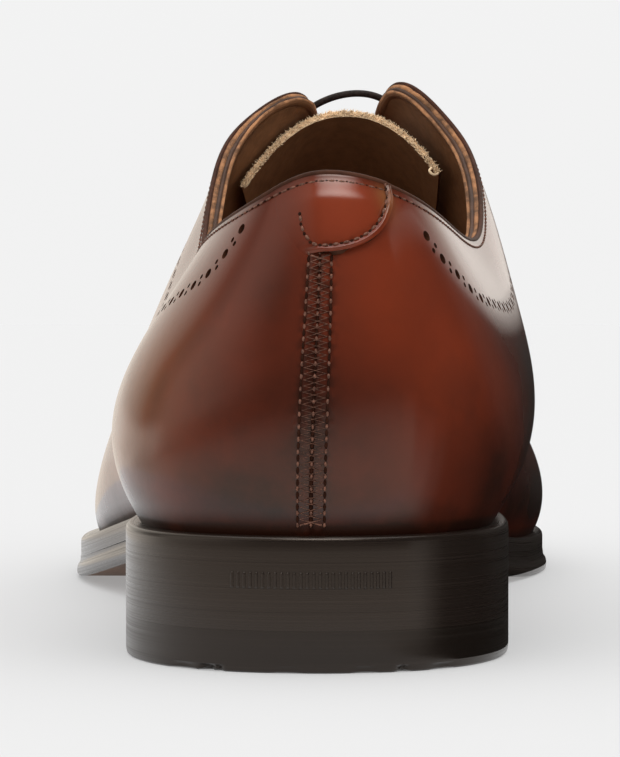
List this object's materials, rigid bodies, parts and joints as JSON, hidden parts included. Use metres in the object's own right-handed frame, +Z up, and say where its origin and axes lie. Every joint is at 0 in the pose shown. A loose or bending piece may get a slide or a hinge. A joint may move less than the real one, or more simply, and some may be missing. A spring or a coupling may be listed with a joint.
{
  "type": "oxford shoe",
  "caption": "Left leather oxford dress shoe with a hollow lasted upper, closed lacing, tongue, welt, thin leather outsole and stacked heel.",
  "frame": {"origin": "under the middle of the shoe's box, on the floor", "axes": "+Y towards the toe, +Z up, +X towards the inner side of the left foot"},
  "size_m": [0.1063, 0.3025, 0.1049],
  "materials": {
    "calf": "burnished red-brown calf, polished",
    "lining": "natural tan lining, matt",
    "sole_edge": "dark waxed edge",
    "top_piece": "dark brown rubber, satin",
    "lace": "thin waxed cotton cord"
  },
  "bodies": {
    "root": {"upper": "calf", "heel_tab": "calf", "tongue": "lining", "insole": "lining", "welt": "sole_edge", "outsole": "sole_edge", "heel_lift_1": "sole_edge", "heel_lift_2": "sole_edge", "heel_top_piece": "top_piece", "lace_bar_1": "lace", "lace_bar_2": "lace", "lace_bar_3": "lace", "lace_bar_4": "lace", "lace_bar_5": "lace"}
  },
  "joints": []
}
